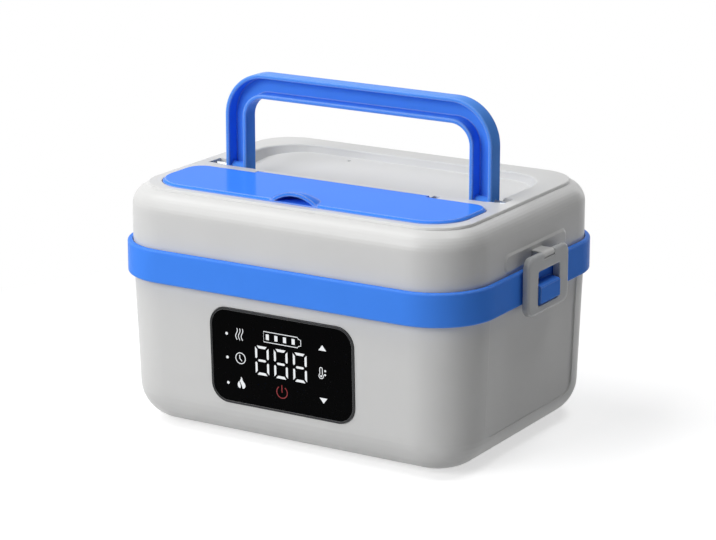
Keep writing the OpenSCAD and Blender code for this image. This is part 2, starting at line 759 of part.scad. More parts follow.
module container_lid() {
    skirt = pot_rim + 0.4;
    t = pot_lid_t;
    z1 = z_pot_lid + t;
    r1 = pot_r + skirt + t;
    tab_x0 = pot_ax + r1 - 1.4;
    tab_x1 = ring_hw - ring_t - 1.6;
    color("lightcyan") difference() {
        union() {
            moulded(pot_ax, pot_ay, concat([[0, z1]], arc(r1 - 2, z1 - 2, 2, 90, 0, 4), [[r1, z_pot_rim + 0.3],
                [r1 - t, z_pot_rim + 0.3], [r1 - t, z_pot_lid], [pot_r - 3, z_pot_lid],
                [pot_r - 3, z_pot_lid - 1.6], [pot_r - 4.6, z_pot_lid - 1.6], [pot_r - 4.6, z_pot_lid], [0, z_pot_lid]]));
            for (sx = [-1, 1]) translate([sx * (tab_x0 + tab_x1) / 2, 0, z1 - 2.4]) linear_extrude(1.8)
                round_rect(tab_x1 - tab_x0, 30, 2.2);
        }
        translate([plug_x, 0, z_pot_lid - cut]) cylinder(h = 6, r = plug_r);
    }
}

module container_seal() {
    out = pot_rim - 0.2;
    color("whitesmoke") round_ring(2 * (pot_hw + out), 2 * (pot_hd + out), pot_r + out, out - 0.6,
        z_pot_top + 0.1, z_pot_lid);
}

// Silicone plug that is pulled open to let steam out
module steam_plug() {
    z1 = z_pot_lid + pot_lid_t;
    r = plug_r - run_gap;
    color("whitesmoke") translate([plug_x, 0, 0]) rotate_extrude()
        polygon([[0, z_pot_lid - 1.2], [r + 0.4, z_pot_lid - 1.2], [r + 0.9, z_pot_lid - 0.1], [r, z_pot_lid - 0.1],
            [r, z1 + 0.1], [r + 3, z1 + 0.1], [r + 3, z1 + 1.6], [r + 2, z1 + 2.2], [0, z1 + 2.2]]);
}

// ---------------------------------------------------------------- lid

// Plan of the cutlery cover: large radii at the front, small ones at the hinge
module cover_plan(grow) {
    hw = cover_hw + grow;
    y0 = -cover_front - grow;
    y1 = -cover_back + grow;
    rf = cover_front_r + grow;
    rr = cover_rear_r + grow;
    for (sx = [-1, 1]) {
        translate([sx * (hw - rf), y0 + rf]) circle(rf);
        translate([sx * (hw - rr), y1 - rr]) circle(rr);
    }
    translate([-hw, y0 + rf]) square([2 * hw, y1 - y0 - rf - rr]);
    translate([rf - hw, y0]) square([2 * (hw - rf), rf + 1]);
    translate([rr - hw, y1 - rr - 1]) square([2 * (hw - rr), rr + 1]);
}

// Plan of the handle recess, inset all round
module recess_plan(inset, sides) {
    for (sx = [-1, 1]) {
        translate([sx * (recess_hw - recess_r), recess_back - recess_r]) circle(recess_r - inset, $fn = sides);
        translate([sx * (recess_hw - recess_front_r), recess_front_r - recess_front])
            circle(recess_front_r - inset, $fn = sides);
    }
}

// Slice of the recess at an angle round its rounded rim, from 0 at the top to 90 at the wall
module rim_slice(angle) {
    translate([0, 0, z_top - recess_rim * (1 - cos(angle))]) linear_extrude(angle == 0 ? 0.2 : 0.01)
        recess_plan(recess_rim * (sin(angle) - 1), 48);
}

// Hollow of the recess, from its rounded rim down the leaning walls to the sloping floor
module recess_hollow() {
    for (a = [0:30:60]) hull() {
        rim_slice(a);
        rim_slice(a + 30);
    }
    hull() {
        rim_slice(90);
        translate([0, recess_back, z_top - recess_depth]) rotate([recess_slope, 0, 0])
            translate([0, -recess_back, 0]) linear_extrude(0.01) recess_plan(recess_lean, 48);
    }
}

// Plan of the tongue that the cover reaches back with between its hinges
module tongue_plan(grow) {
    w = 2 * (tongue_hw + grow);
    translate([-w / 2, -cover_back - 3]) square([w, tongue_y + cover_back + 3 + grow]);
}

module lid_shell() {
    p_r = lid_r - plateau_inset;
    edge = 0.9;
    pan = lid_pan;
    tray_z = z_tray_flange;
    color(grey) difference() {
        union() {
            // outer skin with its raised top
            moulded(band_ax, band_ay, concat([[0, z_shoulder]],
                arc(lid_r - lid_fillet, z_shoulder - lid_fillet, lid_fillet, 90, 0),
                [[lid_r, z_lid + 0.6], [lid_r - 0.6, z_lid], [lid_r - lid_wall, z_lid]],
                arc(lid_r - lid_fillet, z_shoulder - lid_fillet, lid_fillet - lid_wall, 0, 90),
                [[0, z_shoulder - lid_wall]]));
            moulded(band_ax, band_ay, concat([[0, z_shoulder - 1], [p_r + 0.3, z_shoulder - 1], [p_r + 0.3, z_shoulder]],
                arc(p_r - edge, z_top - edge, edge, 0, 90, 4), [[0, z_top]]));
            // pan of the handle recess and of the cutlery compartment
            translate([0, (recess_back + pan - cover_back) / 2, z_top - 12]) linear_extrude(10)
                round_rect(2 * (recess_hw + pan), recess_back + pan + cover_back, recess_front_r + pan);
            translate([0, 0, tray_z - 6]) linear_extrude(z_shoulder - tray_z + 4) cover_plan(fit_gap + pan);
            for (sx = [0, 1]) mirror([sx, 0, 0]) {
                translate([recess_hw - 3, -recess_front - pan, pivot_z - 6])
                    cube([pin_x + pan - recess_hw + 3, recess_front + 2 * pan + pocket_back, z_shoulder - pivot_z + 5]);
                latch_mount();
            }
            at_corners(lid_screw_x, lid_screw_y) translate([0, 0, z_lid_liner + lid_liner_t])
                cylinder(h = z_shoulder - z_lid_liner - lid_liner_t - 6, r = 3.6);
            translate([-vent_x, vent_y, z_lid_liner + lid_liner_t]) cylinder(h = z_top - 10 - z_lid_liner, r = 3);
        }
        recess_hollow();
        translate([0, 0, tray_z]) linear_extrude(20) cover_plan(fit_gap);
        translate([0, 0, cover_bottom - seat_gap]) linear_extrude(20) tongue_plan(fit_gap);
        translate([0, 0, tray_z - 10]) linear_extrude(20) cover_plan(fit_gap - tray_lip);
        for (sx = [0, 1]) mirror([sx, 0, 0]) {
            translate([recess_hw - 4, -recess_front, pivot_z - 4])
                cube([pocket_x - recess_hw + 4, recess_front + pocket_back, 20]);
            hinge_slot();
            rod_x(hinge_pin_r + pin_gap, hinge_arm_x - 6, hinge_arm_x + 6, hinge_y, hinge_z);
        }
        for (sx = [0, 1]) mirror([sx, 0, 0]) rod_x(handle_pin_r + pin_gap, recess_hw - 6, pin_x + 0.3, 0, pivot_z);
        at_corners(lid_screw_x, lid_screw_y) translate([0, 0, z_lid_liner])
            cylinder(h = lid_screw_l + 2, r = screw_r + pin_gap);
        translate([-vent_x, vent_y, z_lid_liner]) cylinder(h = 40, r = 1);
    }
}

// Slot in the strip behind the cover that its hinge arm swings in
module hinge_slot() {
    w = hinge_arm_w + 2 * fit_gap;
    translate([hinge_arm_x - w / 2, -cover_back - 6, hinge_z - hinge_r - fit_gap])
        cube([w, hinge_y + cover_back + 6 + hinge_r + fit_gap, 20]);
}

// Raised pad with soft edges on the lid wall, and the lug that the latch turns on
module latch_mount() {
    pad_w = latch_w + 26;
    z0 = z_band_top + 1;
    z1 = latch_z1 + 4;
    r = latch_t / 2;
    difference() {
        union() {
            translate([lid_hw - 1, 0, (z0 + z1) / 2]) rotate([90, 0, 90]) hull() {
                linear_extrude(1) round_rect(pad_w, z1 - z0, 5, 32);
                linear_extrude(1.7) round_rect(pad_w - 3, z1 - z0 - 3, 3.5, 32);
            }
            translate([0, knuckle_w / 2, 0]) rotate([90, 0, 0]) linear_extrude(knuckle_w) {
                translate([latch_pivot_x, latch_pivot_z]) circle(r);
                translate([lid_hw - 1, latch_pivot_z - r]) square([latch_pivot_x - lid_hw + 1, 2 * r]);
            }
        }
        translate([latch_pivot_x, knuckle_w, latch_pivot_z]) rotate([90, 0, 0])
            cylinder(h = 2 * knuckle_w, r = latch_pin_r + pin_gap);
    }
}

module lid_liner() {
    hw = lid_hw - lid_wall - 0.6;
    hd = lid_hd - lid_wall - 0.6;
    color("whitesmoke") difference() {
        union() {
            round_plate(2 * hw, 2 * hd, lid_r - lid_wall - 0.6, z_lid_liner, z_lid_liner + lid_liner_t);
            round_ring(2 * ring_hw, 2 * ring_hd, ring_r, ring_t, z_flange + gasket_gap + gasket_h, z_lid_liner + 0.1);
        }
        at_corners(lid_screw_x, lid_screw_y) translate([0, 0, z_lid_liner]) screw_hole(6);
        translate([-vent_x, vent_y, z_lid_liner - cut]) cylinder(h = 6, r = 2.5);
    }
}

module lid_gasket() {
    z0 = z_flange + gasket_gap;
    color("whitesmoke") round_ring(2 * ring_hw + 0.6, 2 * ring_hd + 0.6, ring_r + 0.3, ring_t + 0.8, z0, z0 + gasket_h);
}

module lid_screws() {
    color(steel) at_corners(lid_screw_x, lid_screw_y) translate([0, 0, z_lid_liner]) screw(lid_screw_l);
}

// Small silicone valve under the vent hole of the lid
module vent_valve() {
    color("whitesmoke") translate([-vent_x, vent_y, 0]) rotate_extrude()
        polygon([[1, z_lid_liner - 1.6], [5, z_lid_liner - 1.6], [5, z_lid_liner - 0.1], [2.4, z_lid_liner - 0.1],
            [2.4, z_lid_liner + lid_liner_t - 0.1], [1, z_lid_liner + lid_liner_t - 0.1]]);
}

module cutlery_tray() {
    z1 = z_tray_flange + tray_flange_t;
    z0 = z1 - tray_depth;
    inset = tray_lip + 0.3 - fit_gap;
    color(blue) difference() {
        union() {
            translate([0, 0, z_tray_flange]) linear_extrude(tray_flange_t) cover_plan(0);
            translate([0, 0, z0]) linear_extrude(z1 - z0) cover_plan(-inset);
        }
        translate([0, 0, z0 + tray_floor_t]) linear_extrude(tray_depth) cover_plan(-inset - tray_wall);
        for (sx = [0, 1]) mirror([sx, 0, 0]) hinge_slot();
    }
}

// ---------------------------------------------------------------- cutlery cover

// Cover with a tongue between its hinges and a hollow hood to lift it by: a slice of a sphere that
// rises from the front edge
module cutlery_cover() {
    lift_top = z_top + cover_proud + lift_h;
    lift_floor = z_top + 0.5;
    rise = lift_top - lift_floor;
    r = (lift_hw * lift_hw + rise * rise) / (2 * rise);
    y0 = -cover_front + 0.7;
    color(blue) difference() {
        union() {
            translate([-tongue_hw, 0, 0]) rotate([90, 0, 90]) linear_extrude(2 * tongue_hw)
                polygon([[-cover_back - 4, cover_bottom + 0.01], [tongue_y - 0.9, cover_bottom + 0.01],
                    [tongue_y, z_top - 0.1], [tongue_y - cover_proud, z_top + cover_proud - 0.01],
                    [-cover_back - 4, z_top + cover_proud - 0.01]]);
            hull() {
                translate([0, 0, cover_bottom]) linear_extrude(0.1) cover_plan(-0.9);
                translate([0, 0, z_top - 0.1]) linear_extrude(0.1) cover_plan(0);
                translate([0, 0, z_top + cover_proud - 0.1]) linear_extrude(0.1) cover_plan(-cover_proud);
            }
            intersection() {
                translate([0, y0, lift_top - r]) sphere(r);
                translate([-lift_hw - 2, y0, z_top]) cube([2 * lift_hw + 4, 2 * lift_hw, 20]);
            }
            for (sx = [0, 1]) mirror([sx, 0, 0]) hinge_arm();
        }
        intersection() {
            translate([0, y0, lift_top - r]) sphere(r - lift_wall);
            translate([-lift_hw, y0 - 2, lift_floor]) cube([2 * lift_hw, 2 * lift_hw, rise]);
        }
        for (sx = [0, 1]) mirror([sx, 0, 0])
            rod_x(hinge_pin_r + run_gap, hinge_arm_x - 4, hinge_arm_x + 4, hinge_y, hinge_z);
    }
}

module hinge_arm() {
    translate([hinge_arm_x + hinge_arm_w / 2, 0, 0]) rotate([90, 0, -90]) mirror([1, 0, 0])
        linear_extrude(hinge_arm_w) {
            translate([hinge_y, hinge_z]) circle(hinge_r);
            polygon([[-cover_back - 3.3, cover_bottom - 1.6], [hinge_y, hinge_z - hinge_r], [hinge_y, hinge_z + hinge_r],
                [-cover_back - 1.1, cover_bottom + 0.9], [-cover_back - 3.3, cover_bottom + 0.9]]);
        }
}

module cover_hinge_pins() {
    color(steel) for (sx = [0, 1]) mirror([sx, 0, 0])
        rod_x(hinge_pin_r, hinge_arm_x - 5.8, hinge_arm_x + 5.8, hinge_y, hinge_z);
}

// ---------------------------------------------------------------- handle

// Channel section, open to the front: [distance out from the inner face, distance towards the front]
function channel() =
    let (w = handle_sec_w, h = handle_sec_t / 2, f = handle_flange, c = 0.9, s = 0.5, b = handle_web - h)
    concat(arc(c, -h + c, c, 180, 270, 3), arc(w - c, -h + c, c, 270, 360, 3), arc(w - c, h - c, c, 0, 90, 3),
        [[w - f + s, h], [w - f, h - s], [w - f - 0.3, b], [f + 0.3, b], [f, h - s], [f - s, h]],
        arc(c, h - c, c, 90, 180, 3));

module handle() {
    in_x = handle_hw - handle_sec_w;
    z_bend = handle_top - handle_sec_w - handle_bend_r;
    x_bend = in_x - handle_bend_r;
    foot = handle_sec_t / 2;
    color(blue) difference() {
        union() {
            for (sx = [0, 1]) mirror([sx, 0, 0]) {
                translate([x_bend, 0, z_bend]) rotate([90, 0, 0])
                    rotate_extrude(angle = 90) translate([handle_bend_r, 0]) polygon(channel());
                intersection() {
                    translate([in_x, 0, z_bend]) rotate([180, 0, 0]) linear_extrude(z_bend - pivot_z + foot)
                        polygon(channel());
                    union() {
                        translate([in_x - cut, -foot - cut, pivot_z])
                            cube([handle_sec_w + 2 * cut, handle_sec_t + 2 * cut, z_bend - pivot_z + cut]);
                        rod_x(foot, in_x - cut, handle_hw + cut, 0, pivot_z);
                    }
                }
                rod_x(handle_boss_r, in_x + 1, handle_hw - 1, 0, pivot_z);
            }
            translate([-x_bend, 0, z_bend + handle_bend_r]) rotate([90, 0, 90])
                linear_extrude(2 * x_bend) polygon([for (q = channel()) [-q[1], q[0]]]);
        }
        for (sx = [0, 1]) mirror([sx, 0, 0])
            rod_x(handle_pin_r + run_gap, handle_hw - pin_in - fit_gap, handle_hw + cut, 0, pivot_z);
    }
}

module handle_pins() {
    color(steel) for (sx = [0, 1]) mirror([sx, 0, 0])
        rod_x(handle_pin_r, handle_hw - pin_in, pin_x, 0, pivot_z);
}

// ---------------------------------------------------------------- latches

module latch_plan(grow) {
    round_rect(latch_w + 2 * grow, latch_z1 - latch_z0 + 2 * grow, 6 + grow, 48);
}

// Frame that hangs from the lid: its window drops over the hook and its lower bar catches under it
module latch() {
    mid = (latch_z0 + latch_z1) / 2;
    r = latch_t / 2;
    bar_in = latch_x + latch_t - 2.4;
    notch_hw = knuckle_w / 2 + 0.3;
    difference() {
        union() {
            translate([latch_x, 0, mid]) rotate([90, 0, 90]) hull() {
                linear_extrude(0.01) latch_plan(-0.6);
                for (a = [0:30:90]) translate([0, 0, latch_t - 0.01 - latch_edge * (1 - sin(a))])
                    linear_extrude(0.01) latch_plan(latch_edge * (cos(a) - 1));
                translate([0, 0, 0.6]) linear_extrude(0.1) latch_plan(0);
            }
        }
        // window over the hook
        translate([latch_x - cut, 0, (window_z0 + window_z1) / 2]) rotate([90, 0, 90])
            linear_extrude(latch_t + 2 * cut) round_rect(latch_window_w, window_z1 - window_z0, 1.5);
        // ramp on the inner side of the lower bar
        translate([0, latch_window_w / 2, 0]) rotate([90, 0, 0]) linear_extrude(latch_window_w)
            polygon([[latch_x - cut, window_z0 + cut], [bar_in, window_z0 + cut], [bar_in, window_z0],
                [latch_x + 0.3, latch_z0 - 0.01], [latch_x - cut, latch_z0 - 0.01]]);
        // notch that runs round the lug of the lid
        translate([latch_x - cut, -notch_hw, latch_pivot_z]) cube([latch_t + 2 * cut, 2 * notch_hw, r + cut]);
        translate([latch_x - cut, -notch_hw, latch_pivot_z - r - 0.3]) cube([r + cut, 2 * notch_hw, r + 1]);
        translate([latch_pivot_x, notch_hw, latch_pivot_z]) rotate([90, 0, 0])
            cylinder(h = 2 * notch_hw, r = r + 0.3);
        // round top edge about the pivot
        difference() {
            translate([latch_x - cut, -latch_w / 2 - cut, latch_pivot_z]) cube([latch_t + 2 * cut, latch_w + 2 * cut, r + cut]);
            translate([latch_pivot_x, latch_w, latch_pivot_z]) rotate([90, 0, 0]) cylinder(h = 2 * latch_w, r = r);
        }
        translate([latch_pivot_x, 17, latch_pivot_z]) rotate([90, 0, 0]) cylinder(h = 34, r = latch_pin_r + run_gap);
    }
}

module latch_right() {
    color(grey) latch();
}

module latch_left() {
    color(grey) mirror([1, 0, 0]) latch();
}

module latch_pins() {
    color(steel) for (sx = [0, 1]) mirror([sx, 0, 0])
        translate([latch_pivot_x, 16.8, latch_pivot_z]) rotate([90, 0, 0]) cylinder(h = 33.6, r = latch_pin_r);
}

base_shell();
bottom_cover();
rubber_feet();
bottom_screws();
mid_band();
inner_liner();
frame_screws();
heating_plate();
heating_film();
insulation_pad();
heater_bracket();
heater_screws();
temperature_sensor();
thermal_fuse();
battery_cells();
battery_holder();
control_board();
display_board();
display_screws();
display_bezel();
touch_panel();
charge_socket();
food_container();
container_lid();
container_seal();
steam_plug();
lid_shell();
lid_liner();
lid_gasket();
lid_screws();
vent_valve();
cutlery_tray();
cutlery_cover();
cover_hinge_pins();
handle();
handle_pins();
latch_right();
latch_left();
latch_pins();
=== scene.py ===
"""Electric lunch box: a grey two-part shell round a blue band, a steel food container on a heating
plate, a latched lift-off lid with a cutlery tray under a blue cover, and a folding blue handle."""
import math
import bpy, bmesh
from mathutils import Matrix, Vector


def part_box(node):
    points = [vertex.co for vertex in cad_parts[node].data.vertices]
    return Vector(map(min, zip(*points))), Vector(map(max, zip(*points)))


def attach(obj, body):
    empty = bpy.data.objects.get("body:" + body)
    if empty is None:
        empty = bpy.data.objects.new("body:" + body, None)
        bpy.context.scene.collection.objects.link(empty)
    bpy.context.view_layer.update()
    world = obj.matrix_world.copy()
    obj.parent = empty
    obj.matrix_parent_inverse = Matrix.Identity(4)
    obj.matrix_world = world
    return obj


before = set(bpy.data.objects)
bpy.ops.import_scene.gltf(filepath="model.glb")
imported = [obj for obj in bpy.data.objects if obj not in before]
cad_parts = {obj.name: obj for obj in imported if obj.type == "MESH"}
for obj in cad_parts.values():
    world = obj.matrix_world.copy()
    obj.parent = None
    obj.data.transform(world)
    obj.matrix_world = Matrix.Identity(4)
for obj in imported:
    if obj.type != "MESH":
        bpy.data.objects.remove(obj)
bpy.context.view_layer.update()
MM = 0.001

# --------------------------------------------------------------------------------------------
# The studio: a matt white table that runs into a white room. The key is a large soft box at the
# front left; one high at the left, one overhead at the right and a narrow strip behind fill the
# other sides. The camera stands off the front right corner of the box with a long lens.


def linear(colour):
    """An sRGB hex colour such as '#d0d4d8' as linear red, green, blue and alpha."""
    parts = [int(colour[i:i + 2], 16) / 255 for i in (1, 3, 5)]
    return (*(c / 12.92 if c <= 0.04045 else ((c + 0.055) / 1.055) ** 2.4 for c in parts), 1.0)


def add(tree, kind, feeds=(), **settings):
    """A new node. Each feed is an input's name or number, with the output or the value that goes
    into it. Each setting goes to the node's own property of that name, or else to an input."""
    node = tree.nodes.new(kind)
    feeds = dict(feeds)
    for name, value in settings.items():
        if hasattr(node, name):
            setattr(node, name, value)
        else:
            feeds[name.replace("_", " ")] = value
    for name, feed in feeds.items():
        if isinstance(feed, bpy.types.NodeSocket):
            tree.links.new(feed, node.inputs[name])
        else:
            node.inputs[name].default_value = feed
    return node


def new_material(name):
    """An empty node material, its tree, and the coordinates of the surface in metres."""
    material = bpy.data.materials.new(name)
    material.use_nodes = True
    tree = material.node_tree
    tree.nodes.clear()
    return material, tree, add(tree, "ShaderNodeTexCoord").outputs["Object"]


view_turn, view_rise, view_far = math.radians(31.268), math.radians(15.4545), 1548.64 * MM
look_at = Vector((-0.915, 0, 87.60)) * MM
look_back = Vector((math.sin(view_turn) * math.cos(view_rise),
                    -math.cos(view_turn) * math.cos(view_rise), math.sin(view_rise)))
sensor_mm, picture_pixels, focal_pixels = 36, 716, 2666.87
lens = bpy.data.cameras.new("studio_camera")
lens.sensor_width = sensor_mm
lens.lens = focal_pixels / picture_pixels * sensor_mm
lens.clip_start, lens.clip_end = 0.05, 60
camera = bpy.data.objects.new("studio_camera", lens)
bpy.context.scene.collection.objects.link(camera)
camera.location = look_at + look_back * view_far
camera.rotation_euler = (-look_back).to_track_quat("-Z", "Y").to_euler()
bpy.context.scene.camera = camera
bpy.context.scene.view_settings.view_transform = "Standard"


def soft_box(name, place, aim, wide, high, watts):
    """A rectangular studio lamp that stands at place and points at aim, in metres."""
    lamp = bpy.data.lights.new(name, "AREA")
    lamp.shape, lamp.size, lamp.size_y, lamp.energy = "RECTANGLE", wide, high, watts
    holder = bpy.data.objects.new(name, lamp)
    bpy.context.scene.collection.objects.link(holder)
    holder.location = place
    holder.rotation_euler = (Vector(aim) - Vector(place)).to_track_quat("-Z", "Y").to_euler()


soft_box("key_soft_box", (-0.68, -1.74, 1.00), aim=(0, 0, 0.07), wide=1.1, high=1.1, watts=26)
soft_box("left_soft_box", (-0.80, -0.34, 1.48), aim=(0, 0, 0.10), wide=0.9, high=0.9, watts=14)
soft_box("top_soft_box", (0.42, 0.24, 1.55), aim=(0.02, 0, 0.10), wide=0.6, high=0.6, watts=7.9)
soft_box("rim_strip", (0.22, 1.55, 0.50), aim=(0.05, 0, 0.08), wide=0.3, high=0.9, watts=1.6)


def shown(tree):
    """1 for the rays that show a backdrop: straight to the camera, mirrored, or through something
    clear. 0 for the rays that light the box."""
    path = add(tree, "ShaderNodeLightPath")
    direct = add(tree, "ShaderNodeMath", {0: path.outputs["Is Camera Ray"],
                 1: path.outputs["Is Transmission Ray"]}, operation="MAXIMUM")
    mirrored = add(tree, "ShaderNodeMath", {0: direct.outputs[0], 1: path.outputs["Is Glossy Ray"]},
                   operation="MAXIMUM")
    return mirrored.outputs[0]


pure_white = (1, 1, 1, 1)
room = bpy.data.worlds.new("white_room")
room.use_nodes = True
tree = room.node_tree
tree.nodes.clear()
fill_glow = add(tree, "ShaderNodeBackground", Color=linear("#f4f6fa"), Strength=0.03)
white_glow = add(tree, "ShaderNodeBackground", Color=pure_white, Strength=1.0)
room_mix = add(tree, "ShaderNodeMixShader", {0: shown(tree), 1: fill_glow.outputs[0],
               2: white_glow.outputs[0]})
add(tree, "ShaderNodeOutputWorld", {"Surface": room_mix.outputs[0]})
bpy.context.scene.world = room

# The table is matt white laminate, so large that its far edge is out of every view. It lies a
# hair below the feet so that the two faces do not fight, and its shade fades into the white room.
table_reach, table_drop = 9, 0.02 * MM
fade_start, fade_end = 0.17, 0.36
table_mesh = bpy.data.meshes.new("table_top")
table_mesh.from_pydata([(x * table_reach, y * table_reach, -table_drop)
                        for x, y in ((-1, -1), (1, -1), (1, 1), (-1, 1))], [], [(0, 1, 2, 3)])
table = bpy.data.objects.new("table_top", table_mesh)
bpy.context.scene.collection.objects.link(table)
laminate, tree, place = new_material("matt_white_laminate")
mottle = add(tree, "ShaderNodeTexNoise", {"Vector": place}, Scale=9.0, Detail=2.0)
tone = add(tree, "ShaderNodeMapRange", {"Value": mottle.outputs["Fac"]}, To_Min=0.61, To_Max=0.63)
tint = add(tree, "ShaderNodeCombineColor", {i: tone.outputs[0] for i in range(3)})
matt = add(tree, "ShaderNodeBsdfDiffuse", {"Color": tint.outputs[0]})
glow = add(tree, "ShaderNodeEmission", Color=pure_white, Strength=0.62)
lifted = add(tree, "ShaderNodeAddShader", {0: matt.outputs[0], 1: glow.outputs[0]})
white = add(tree, "ShaderNodeEmission", Color=pure_white, Strength=1.0)
away = add(tree, "ShaderNodeVectorMath", {0: place}, operation="LENGTH")
fade = add(tree, "ShaderNodeMapRange", {"Value": away.outputs["Value"]}, From_Min=fade_start,
           From_Max=fade_end)
seen = add(tree, "ShaderNodeMixShader", {0: fade.outputs[0], 1: lifted.outputs[0],
           2: white.outputs[0]})
laid = add(tree, "ShaderNodeMixShader", {0: shown(tree), 1: matt.outputs[0], 2: seen.outputs[0]})
add(tree, "ShaderNodeOutputMaterial", {"Surface": laid.outputs[0]})
table_mesh.materials.append(laminate)

# --------------------------------------------------------------------------------------------
# Base shell and bottom cover: two light grey ABS mouldings. The shell has drafted walls and a
# large bottom radius, and the cover closes it from below with screws and vents the battery.


def dress(material, *nodes):
    """Puts one material on every slot of CAD nodes."""
    for name in nodes:
        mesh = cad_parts[name].data
        mesh.materials.clear()
        mesh.materials.append(material)


def shade_of(colour, times, plus=0.0):
    """A hex colour as linear, made darker or lighter by a factor and an addition."""
    return (*(min(1.0, c * times + plus) for c in linear(colour)[:3]), 1.0)


# The colour sockets of a Mix node: its two inputs and its output.
mix_a, mix_b, mixed = 6, 7, 2


def moulded_abs(name, colour, roughness, gloss=0.5, tint="#ffffff", wear_and_highlight=0.3, rim=0.5, wave=6.0,
                grain=0.35):
    """Plastic from a polished mould: a soft even gloss of level gloss and colour tint, over waves
    from shrinkage and a fine grain, wave and grain mm apart, with hair-fine handling marks. The
    real grain is under 0.1 mm, and is drawn coarser so that it shows. Rounded edges are painted
    pale over rim mm by the given share: part rubbing wear, part painted highlight."""
    cloud_mm, mark_mm = 28, 1.1
    pale_edge_start, pale_edge_full = 0.995, 0.90     # cosine of the turn of a rounded edge from its face
    material, tree, place = new_material(name)
    waves = add(tree, "ShaderNodeTexNoise", {"Vector": place}, Scale=1 / (wave * MM), Detail=1.0)
    fine = add(tree, "ShaderNodeTexNoise", {"Vector": place}, Scale=1 / (grain * MM), Detail=2.0)
    cloud = add(tree, "ShaderNodeTexNoise", {"Vector": place}, Scale=1 / (cloud_mm * MM),
                Detail=3.0)
    marks = add(tree, "ShaderNodeTexNoise", {"Vector": place}, Scale=1 / (mark_mm * MM), Detail=4.0,
                Roughness=0.7)
    edge = add(tree, "ShaderNodeBevel", samples=4, Radius=rim * MM)
    faced = add(tree, "ShaderNodeNewGeometry")
    turned = add(tree, "ShaderNodeVectorMath", {0: edge.outputs[0], 1: faced.outputs["Normal"]},
                 operation="DOT_PRODUCT")
    # Rounded edges turn pale: partly rubbing wear, partly a painted highlight for the light they
    # catch.
    worn = add(tree, "ShaderNodeMapRange", {"Value": turned.outputs["Value"]},
               From_Min=pale_edge_start, From_Max=pale_edge_full, To_Min=0.0, To_Max=wear_and_highlight)
    body = add(tree, "ShaderNodeMix", {"Factor": cloud.outputs["Fac"],
               mix_a: shade_of(colour, 0.97), mix_b: shade_of(colour, 1.03, 0.004)},
               data_type="RGBA")
    worn_and_highlit = add(tree, "ShaderNodeMix", {"Factor": worn.outputs[0], mix_a: body.outputs[mixed],
                 mix_b: shade_of(colour, 0.6, 0.4)}, data_type="RGBA")
    scuff = add(tree, "ShaderNodeMapRange", {"Value": marks.outputs["Fac"]}, From_Min=0.3,
                From_Max=0.7, To_Min=roughness - 0.012, To_Max=roughness + 0.015)
    low = add(tree, "ShaderNodeBump", {"Height": waves.outputs["Fac"], "Normal": edge.outputs[0]},
              Strength=0.35, Distance=0.05 * MM)
    high = add(tree, "ShaderNodeBump", {"Height": fine.outputs["Fac"], "Normal": low.outputs[0]},
               Strength=0.10, Distance=0.005 * MM)
    skin = add(tree, "ShaderNodeBsdfPrincipled", {"Base Color": worn_and_highlit.outputs[mixed],
               "Roughness": scuff.outputs[0], "Normal": high.outputs[0]}, IOR=1.54,
               Specular_IOR_Level=gloss, Specular_Tint=linear(tint))
    add(tree, "ShaderNodeOutputMaterial", {"Surface": skin.outputs[0]})
    return material


# Its rounded edges are painted pale: mostly a painted highlight along rims, with some rubbing wear.
grey_abs = moulded_abs("grey_satin_abs", "#d3d3d2", 0.32, gloss=0.22, wear_and_highlight=0.8, rim=0.7)
dress(grey_abs, "base_shell", "bottom_cover")

# --------------------------------------------------------------------------------------------
# Rubber feet: four moulded rubber buttons pressed into round pockets of the shell. They are
# nearly black and matt, with a fine sparked texture from their mould.


def moulded_rubber(name, colour, roughness, pit_mm):
    """Soft rubber or silicone: matt, with a faint bloom of dust. The pits of its mould are about
    0.2 mm apart, and are drawn pit_mm apart so that they show."""
    dust_mm = 4
    material, tree, place = new_material(name)
    pits = add(tree, "ShaderNodeTexVoronoi", {"Vector": place}, Scale=1 / (pit_mm * MM))
    dust = add(tree, "ShaderNodeTexNoise", {"Vector": place}, Scale=1 / (dust_mm * MM), Detail=4.0)
    shade = add(tree, "ShaderNodeMix", {"Factor": dust.outputs["Fac"],
                mix_a: shade_of(colour, 0.9), mix_b: shade_of(colour, 1.08, 0.006)},
                data_type="RGBA")
    worn = add(tree, "ShaderNodeMapRange", {"Value": dust.outputs["Fac"]}, To_Min=roughness - 0.08,
               To_Max=roughness + 0.08)
    dent = add(tree, "ShaderNodeBump", {"Height": pits.outputs["Distance"]}, Strength=0.4,
               Distance=0.03 * MM)
    skin = add(tree, "ShaderNodeBsdfPrincipled", {"Base Color": shade.outputs[mixed],
               "Roughness": worn.outputs[0], "Normal": dent.outputs[0]}, IOR=1.45)
    add(tree, "ShaderNodeOutputMaterial", {"Surface": skin.outputs[0]})
    return material


dress(moulded_rubber("black_foot_rubber", "#1b1b1c", 0.72, pit_mm=0.6), "rubber_feet")

